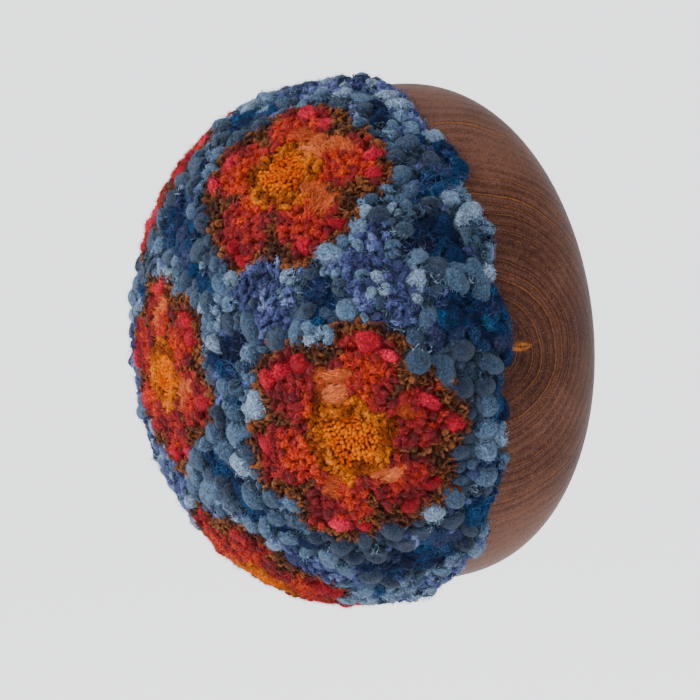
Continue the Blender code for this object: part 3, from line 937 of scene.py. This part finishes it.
def wool_material(name):
    """Wool in the colour its points hold, with their painted shade: light hairs that cross, painted root
    shade and a soft sheen.
    """
    wool = WOOLS[name]
    nodes = Nodes(name)
    place = nodes.place()
    own = nodes.add("Attribute", "Color", {}, attribute_name="yarn_colour")
    rise = nodes.add("Attribute", "Fac", {}, attribute_name="yarn_rise")
    over = nodes.hairs(place, wool.hair)
    under = nodes.hairs(nodes.place((1.7, 1.6, 1.8)), wool.hair) * 0.7
    strands = nodes.math("MAXIMUM", over, under)
    broad = nodes.noise(place, 0.0026, detail=3.0, roughness=0.7)
    fuzz = nodes.noise(place, 0.00055, detail=2.0, roughness=0.7)
    fibres = nodes.between(strands, 0.0, 1.0, 1.0 - 0.7 * wool.fleck, 1.0 + 1.2 * wool.fleck)
    patches = nodes.between(broad, 0.35, 0.65, 1.0 - 0.5 * wool.fleck, 1.0 + 0.5 * wool.fleck)
    # Painted shade: the wool darkens towards each loop's roots, as the shade deep among the loops.
    depth = nodes.between(rise, 0.22, 0.92, wool.root, 1.06)
    grain = nodes.between(fuzz, 0.38, 0.62, 1.0 - wool.fleck, 1.0 + wool.fleck)
    light = (fibres * patches) * (depth * grain)
    lumps = nodes.bump(fuzz, wool.relief * 0.5, under=nodes.bump(broad, wool.relief * 2.5))
    return nodes.shade({
        "Base Color": nodes.add("VectorMath", 0, {0: own, "Scale": light}, operation="SCALE"),
        "Roughness": nodes.between(strands, 0.0, 1.0, 0.98, 0.8),
        "Normal": nodes.bump(strands, wool.relief * 0.35, under=lumps),
        "Sheen Weight": wool.sheen,
        "Sheen Roughness": 0.35,
        "Sheen Tint": (*wool.tint, 1.0),
        "Specular IOR Level": wool.gloss,
    })


def wood_material():
    """Oiled red-brown wood: rings round the tree's heart, thin light lines in them, pores, soft gloss and
    painted shade towards the wall.
    """
    nodes = Nodes("ringed_wood")
    place = nodes.place()
    from_wall = nodes.part(place, "Y")
    out = from_wall + HEART_OUT
    up = nodes.part(place, "Z") - HEART_UP
    radius = nodes.math("SQRT", out * out + up * up)
    # The lines are fainter where the rings lie flat to the surface, as they would spread out there.
    normal = nodes.add("TexCoord", "Normal", {})
    flatness = abs((nodes.part(normal, "Y") * out + nodes.part(normal, "Z") * up) / radius)
    for size, sway in RING_SWAYS:
        radius = radius + (nodes.noise(place, size, detail=2.0) - 0.5) * sway
    pace = nodes.add("TexNoise", "Fac", {"W": radius / RING_PACE}, noise_dimensions="1D")
    ring = radius / RING_PITCH + pace * 0.6
    number = nodes.math("FLOOR", ring)
    ring_share = nodes.math("FRACT", ring)
    ring_tone = nodes.add("TexWhiteNoise", "Value", {"W": number}, noise_dimensions="1D")
    swing = abs(ring_share - 0.5)
    streaks = nodes.noise(nodes.place((0.3, 1.0, 1.0)), 0.0016, detail=4.0, roughness=0.65)
    pores = nodes.noise(nodes.place((0.35, 1.0, 1.0)), 0.0005, detail=1.0, roughness=0.5)
    tone = swing * 0.34 + nodes.noise(place, 0.03) * 0.6 + streaks * 0.32
    tone = tone + nodes.between(radius, 0.012, 0.06, -0.1, 0.14)
    # The wood is made lighter towards the bottom of the bowl.
    tone = tone + nodes.between(up, -0.06, -0.02, 0.08, 0.0)
    # Painted shade: the wood darkens towards the wall, as in the shadow of the wall the bowl hangs on.
    tone = tone + nodes.between(from_wall, -0.026, -0.004, 0.0, -0.13)
    body = nodes.ramp(tone, ((0.36, WOOD_DARK), (0.54, WOOD_MIDDLE), (0.73, WOOD_LIGHT)))
    # A light line runs along each ring's middle, a weaker one beside it, and dark wood along both.
    line = nodes.between(swing, 0.02, 0.085, 1.0, 0.0)
    second = nodes.between(abs(ring_share - (ring_tone * 0.3 + 0.62)), 0.005, 0.035, 0.5, 0.0)
    bold = nodes.between(ring_tone, 0.25, 0.8, 0.15, 0.88) * nodes.between(flatness, 0.7, 0.96, 1.0, 0.25)
    broken = nodes.math("MAXIMUM", line, second) * bold * nodes.between(streaks, 0.34, 0.54, 0.45, 1.0)
    lined = nodes.mix(broken, body, WOOD_LINE)
    beside = nodes.between(abs(swing - 0.14), 0.0, 0.06, 0.6, 0.0) * bold
    edged = nodes.mix(beside, lined, WOOD_PORE)
    along = (out - CHECK_BESIDE) / CHECK_HALF_LENGTH
    room = (1.0 - along * along) * (streaks * (2.0 * CHECK_HALF_HEIGHT))
    inside = nodes.between(room - abs(up), 0.0, 0.0003, 0.0, 0.9)
    dust = nodes.noise(nodes.place((1.0, 0.3, 1.4)), 0.0009)
    filled = nodes.mix(nodes.between(dust, 0.42, 0.6), CHECK_SHADE, CHECK_COLOUR)
    checked = nodes.mix(inside, edged, filled)
    pored = nodes.mix(nodes.between(pores, 0.6, 0.68, 0.0, 0.6), checked, WOOD_PORE)
    return nodes.shade({
        "Base Color": nodes.mix(nodes.between(pores, 0.38, 0.3, 0.0, 0.4), pored, WOOD_LINE),
        "Roughness": nodes.between(streaks, 0.2, 0.8, 0.42, 0.6),
        "Normal": nodes.bump(pores, 0.00005, under=nodes.bump(streaks, 0.00005)),
        "Specular IOR Level": 0.035,
    })


def finish_wool(piece, wool):
    """Gives a piece of pile its material and its place on the frame."""
    piece.data.materials.append(bpy.data.materials.get(wool) or wool_material(wool))
    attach(piece, "root")
    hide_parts("punched_dome")


# The pieces


def make_cloth():
    """The stuffed foundation under the pile, filling the bowl behind it."""
    turns = math.tau * np.arange(CLOTH_STEPS) / CLOTH_STEPS
    rows = np.linspace(0.0, DOWN[-1], CLOTH_ROWS)[1:]
    down, turn = (values.ravel() for values in np.meshgrid(rows, turns, indexing="ij"))
    out = frames_on_cushion(down, turn)[:, :, 2]
    surface = on_cushion(down, turn)
    depth = CLOTH_DEPTH + CLOTH_LUMP * field(surface, CLOTH_LUMP_SCALE)
    points = hang_over(surface, down) - out * depth[:, None]
    radius = np.hypot(points[:, 0], points[:, 1])
    limit = BOWL_RADIUS + CLOTH_OFF_WOOD
    push = np.where((down > EDGE_DOWN) & (radius < limit), limit / radius, 1.0)
    points[:, :2] *= push[:, None]
    side = BOWL_RADIUS - RIM_DRAWN_IN - BOWL_WALL - SIDE_GAP
    seat = RIM_AT + SEAT_GAP
    inner = [(BOWL_RADIUS - SEAT_IN, seat), (side, seat), (side, RIM_AT - RIM_ROUNDING)]
    radius, depth = BOWL_RADIUS - BOWL_WALL - SIDE_GAP, BOWL_WIDEST_AT - BOWL_FLOOR - SIDE_GAP
    inner += bowl_curve(radius, depth, np.linspace(0.0, math.pi / 2, 9)[:-1])
    hidden = [(across * math.cos(t), across * math.sin(t), height) for across, height in inner for t in turns]
    top = on_cushion(np.array([0.0]), np.array([0.0])) - [0.0, 0.0, CLOTH_DEPTH]
    points = np.vstack([points, hidden, top, [[0.0, 0.0, BOWL_FLOOR + SIDE_GAP]]])
    quads, tris = closed_skin(len(rows) + len(inner), CLOTH_STEPS)
    zones = zones_at(surface, down)
    # Painted shade: the cloth takes its zone's mean yarn colour, darkened as the shade between the loops, but
    # not under the eyes.
    colours = np.array([np.mean(YARN_TONES[str(zone)], axis=0) for zone in zones])
    colours *= np.where(zones == "yellow", EYE_CLOTH_PAINTED_SHADE, CLOTH_PAINTED_SHADE)[:, None]
    colours = np.vstack([colours, np.tile(HIDDEN_CLOTH, (len(hidden) + 2, 1))])
    piece = add_piece("cushion_cloth", points, quads, tris, colours, np.ones(len(points)))
    finish_wool(piece, "pile_roots")


def make_tufts(sites, hosts):
    """The felted tufts, large and small: pads, dimpled pads, curled ends and fat arches of roving."""
    shapes = pads(
        8, 13,
        (1.0, 1.06, 0.92, -0.1, 0.0, 0.85), (1.06, 0.98, 0.85, -0.05, 0.35),
        (0.92, 1.12, 0.98, -0.12), (0.86, 1.42, 0.88, -0.12),
    )
    shapes += loops(11, 9, (0.58, 0.92, 0.56, -0.9, 0.15, 0.06, 0.5))
    shapes.append(coil_shape(14, 8, 0.56, 0.48, 290))
    small_shapes = pads(7, 10, (1.0, 1.08, 0.92, -0.1), (0.92, 1.12, 0.98, -0.12, 0.25))
    small_shapes += loops(9, 8, (0.58, 0.95, 0.56, -0.9, 0.15, 0.08, 0.5))
    small_shapes.append(coil_shape(12, 7, 0.56, 0.48, 290))
    for name, yarn, kinds in (("felted_tufts", "tuft", shapes), ("small_tufts", "slate", small_shapes)):
        here = sites.of(yarn, 0.15)
        hosts[yarn] = lay_pile(name, here, kinds, ground_tones(here, PILES[name].seed))


def make_petals(sites, hosts):
    """The petals' loops, their coral tips and their fluffed patches of roving."""
    draw = np.random.default_rng(110)
    here = sites.of("orange", 0.55)
    shapes = pads(6, 7, (0.88, 1.02, 1.2, -0.1), (0.96, 0.88, 1.05, -0.1, 0.15), (0.8, 1.12, 1.05, -0.05))
    shapes += loops(6, 6, (0.42, 1.3, 0.62, -1.3, 0.25, 0.12, 0.7), (0.62, 1.05, 0.62, -1.3, -0.2, 0.12, 0.9))
    spins = here.ring_turn + draw.normal(0.0, 0.55, len(here.radius))
    hosts["orange"] = lay_pile("petal_loops", here, shapes, petal_tones(here, 111), spins)
    here = sites.of("coral", 0.25)
    shapes = pads(9, 14, (0.98, 1.1, 0.98, -0.1), (1.15, 0.9, 0.9, -0.1, 0.2))
    shapes += loops(11, 10, (0.55, 1.05, 0.62, -0.9, 0.1, 0.06, 0.5))
    hosts["coral"] = lay_pile("petal_tips", here, shapes, mixed_tones("coral", here, 0.01, 0.25, 113))
    here = sites.of("roving")
    shapes = pads(8, 12, (1.45, 0.85, 0.6, -0.15), (1.25, 1.0, 0.55, -0.1))
    colours = mixed_tones("roving", here, 0.01, 0.22, 115)
    spins = here.ring_turn + draw.normal(0.0, 0.25, len(colours))
    hosts["roving"] = lay_pile("roving_patches", here, shapes, colours, spins)


def make_eyes(sites, hosts):
    """The ochre rings and the fine yellow eyes in them."""
    draw = np.random.default_rng(120)
    here = sites.of("ochre", 0.45)
    shapes = loops(7, 6, (0.8, 1.1, 0.66, -1.6, 0.4, 0.14, 1.0), (0.95, 0.95, 0.62, -1.6, -0.2, 0.14, 1.2))
    shapes += [squiggle_shape(8, 6, draw, 0.52, 0.75) for _ in range(2)]
    hosts["ochre"] = lay_pile("ochre_loops", here, shapes, mixed_tones("ochre", here, 0.008, 0.24, 121, 0.55))
    here = sites.of("yellow", 0.35)
    shapes = loops(7, 5, (0.95, 1.35, 0.8, -2.6, 0.0, 0.06, 0.8), (0.75, 1.55, 0.82, -2.6, 0.4, 0.06, 0.8))
    colours = mixed_tones("yellow", here, 0.006, 0.22, 123, 0.62)
    spins = 2.2 * field(here.point, 0.014) + 0.6 + draw.normal(0.0, 0.4, len(colours))
    lay_pile("eye_loops", here, shapes, colours, spins)


def make_outlines(sites, hosts):
    """The bouclé outlines of the blossoms."""
    draw = np.random.default_rng(130)
    here = sites.of("brown", 0.6)
    shapes = [squiggle_shape(7, 4, draw, 0.36) for _ in range(8)]
    shapes += pads(5, 6, (0.95, 1.15, 1.25, -0.1), (1.1, 0.9, 1.1, -0.1, 0.2))
    shapes += loops(6, 5, (0.6, 1.25, 0.5, -1.3, 0.3, 0.15, 0.8), (0.75, 1.1, 0.46, -1.3, -0.3, 0.15, 0.8))
    colours = mixed_tones("brown", here, 0.005, 0.24, 131, 0.55)
    hosts["brown"] = lay_pile("outline_curls", here, shapes, colours)


def make_blue_fillers(sites, hosts):
    """The ground's dark soft clumps, small smooth loops and flecked strands."""
    draw = np.random.default_rng(140)
    here = sites.of("navy", 0.3)
    shapes = pads(7, 11, (1.15, 1.05, 0.8, -0.15), (1.0, 1.25, 0.9, -0.2), (1.2, 1.2, 0.7, -0.05, 0.25))
    lay_pile("dark_clumps", here, shapes, mixed_tones("navy", here, 0.012, 0.16, 141, 0.38))
    hosts["navy"] = (here, mixed_tones("navy", here, 0.006, 0.25, 143, 0.62))
    here = sites.of("periwinkle", 0.45)
    shapes = pads(6, 8, (0.74, 1.2, 1.15, -0.1), (0.92, 0.84, 1.05, -0.1, 0.3))
    shapes += loops(
        8, 7,
        (0.46, 1.25, 0.52, -1.2, 0.4, 0.16, 0.8), (0.62, 1.0, 0.54, -1.2, -0.3, 0.16, 1.0),
        (0.8, 0.9, 0.5, -1.2, 0.3, 0.16, 1.2),
    )
    colours = mixed_tones("periwinkle", here, 0.008, 0.24, 144, 0.45)
    hosts["periwinkle"] = lay_pile("small_blue_loops", here, shapes, colours)
    here = sites.of("silver")
    shapes = []
    for _ in range(5):
        curls = []
        # Painted glints: alternate curls of each clump are lightened, the others darkened.
        for shade in FLECKED_GLINTS_AND_SHADES:
            curl = squiggle_shape(7, 3, draw, 0.11, 0.8)
            curls.append(curl._replace(shade=curl.shade * shade))
        shapes.append(join_shapes(curls))
    lay_pile("shiny_strands", here, shapes, mixed_tones("silver", here, 0.008, 0.25, 146, 0.45))


def bowl_side(height):
    """The bowl's outside radius between its widest plane and its rim."""
    share = (height - BOWL_WIDEST_AT) / (RIM_AT - BOWL_WIDEST_AT)
    return BOWL_RADIUS - RIM_DRAWN_IN * share**2


def bowl_curve(radius, depth, angles):
    """Points of one of the bowl's curves, whose angle is 0 in its widest plane."""
    bend = 2.0 / BOWL_CURVE_POWER
    return [(radius * math.cos(a) ** bend, BOWL_WIDEST_AT - depth * math.sin(a) ** bend) for a in angles]


def bowl_profile():
    """Up the inside of the bowl, over its rounded rim and down its outside to the flat base."""
    radius, depth = BOWL_RADIUS - BOWL_WALL, BOWL_WIDEST_AT - BOWL_FLOOR
    points = [(0.0, BOWL_FLOOR)] + bowl_curve(radius, depth, np.linspace(math.pi / 2, 0.0, 16)[1:])
    rounding_from = RIM_AT - RIM_ROUNDING
    heights = np.linspace(BOWL_WIDEST_AT, rounding_from, 8)[1:-1]
    points += [(bowl_side(height) - BOWL_WALL, height) for height in heights]
    middle, half = bowl_side(RIM_AT) - BOWL_WALL / 2, BOWL_WALL / 2
    for angle in np.linspace(math.pi, 0.0, 13):
        points.append((middle + half * math.cos(angle), rounding_from + RIM_ROUNDING * math.sin(angle)))
    points += [(bowl_side(height), height) for height in reversed(heights)]
    base_angle = math.asin((BOWL_WIDEST_AT / BOWL_CURVE_DEPTH) ** (BOWL_CURVE_POWER / 2))
    points += bowl_curve(BOWL_RADIUS, BOWL_CURVE_DEPTH, np.linspace(0.0, base_angle, 34))
    base_radius = points[-1][0]
    points[-1] = (base_radius, 0.8 * BASE_EDGE)
    points += [(base_radius - BASE_EDGE, 0.0), (0.0, 0.0)]
    return points


def make_bowl():
    """The turned bowl, with the frame's own profile in finer steps."""
    profile = bowl_profile()
    edges = [(i, i + 1) for i in range(len(profile) - 1)]
    bowl = add_object("turned_bowl", new_mesh("turned_bowl", [(r, 0.0, h) for r, h in profile], edges, []))
    screw = bowl.modifiers.new("turn", "SCREW")
    screw.steps = BOWL_STEPS
    screw.render_steps = BOWL_STEPS
    screw.use_merge_vertices = True
    screw.merge_threshold = 0.00001
    solid = bpy.data.meshes.new_from_object(bowl.evaluated_get(bpy.context.evaluated_depsgraph_get()))
    bowl.modifiers.clear()
    bowl.data = solid
    solid.shade_smooth()
    solid.transform(STAND_UP)
    solid.materials.append(wood_material())
    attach(bowl, "root")
    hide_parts("wood_bowl")


# Camera, light and floor


def make_camera():
    """The camera at the photo's angle to the piece."""
    turn, lean = math.radians(VIEW_TURN), math.radians(VIEW_LEAN)
    out = Vector((-math.sin(turn) * math.cos(lean), -math.sin(turn) * math.sin(lean), math.cos(turn)))
    side = Vector((0, 1, 0)).cross(out).normalized()
    up = out.cross(side)
    to_world = Matrix((side, -out, up))
    camera = add_object("camera", bpy.data.cameras.new("camera"))
    camera.data.sensor_width = SENSOR
    camera.data.lens = SENSOR * FOCAL_PIXELS / PICTURE_SIDE
    camera.data.clip_start = 0.05
    middle = Vector((0.0, -BOWL_WIDEST_AT, 0.0))
    place = middle - to_world @ Vector((VIEW_ACROSS, VIEW_UP, -VIEW_DISTANCE))
    camera.matrix_world = Matrix.Translation(place) @ to_world.to_4x4()
    bpy.context.scene.camera = camera


def add_area_light(name, position, size, power, colour):
    """A soft square light, aimed at the piece."""
    light = add_object(name, bpy.data.lights.new(name, "AREA"))
    light.data.size = size
    light.data.energy = power
    light.data.color = colour
    light.location = position
    aim = Vector((0.0, -0.05, 0.0)) - Vector(position)
    light.rotation_euler = aim.to_track_quat("-Z", "Y").to_euler()


def make_floor():
    """A pale studio floor that sweeps up far away, so that no edge of it shows."""
    reach = FLOOR_REACH * np.linspace(-1.0, 1.0, FLOOR_KNOTS)
    points = []
    for y in reach:
        for x in reach:
            rise = FLOOR_CURVE * max(0.0, math.hypot(x, y) - FLOOR_FLAT) ** 2
            points.append((x, y, FLOOR_AT + rise))
    steps = range(FLOOR_KNOTS - 1)
    corners = [row * FLOOR_KNOTS + index for row in steps for index in steps]
    faces = [(corner, corner + 1, corner + FLOOR_KNOTS + 1, corner + FLOOR_KNOTS) for corner in corners]
    mesh = new_mesh("floor", points, [], faces)
    mesh.shade_smooth()
    mesh.materials.append(Nodes("pale_floor").shade({
        "Base Color": (0.9, 0.9, 0.91, 1.0),
        "Emission Color": (0.97, 0.98, 1.0, 1.0),
        "Emission Strength": 0.8,
        "Roughness": 0.85,
    }))
    floor = add_object("floor", mesh)


def make_studio():
    """Pale surroundings and soft daylight from the upper left of the picture."""
    world = bpy.data.worlds.new("pale_room")
    bpy.context.scene.world = world
    world.use_nodes = True
    background = world.node_tree.nodes["Background"]
    background.inputs["Color"].default_value = (0.93, 0.96, 1.0, 1.0)
    background.inputs["Strength"].default_value = 1.35
    add_area_light("window", (0.15, -1.5, 0.95), 1.0, 58.0, (1.0, 0.985, 0.96))
    add_area_light("side_fill", (1.6, 0.1, 0.7), 1.2, 1.5, (0.95, 0.97, 1.0))
    make_floor()


def main():
    make_camera()
    make_studio()
    make_bowl()
    sites = place_sites()
    make_cloth()
    hosts = {}
    for make in (make_tufts, make_petals, make_eyes, make_outlines, make_blue_fillers):
        make(sites, hosts)
    lay_fibres("blue_fibres", [row for row in FIBRES if row.yarn in BLUE_YARNS], hosts)
    lay_fibres("warm_fibres", [row for row in FIBRES if row.yarn not in BLUE_YARNS], hosts)


main()
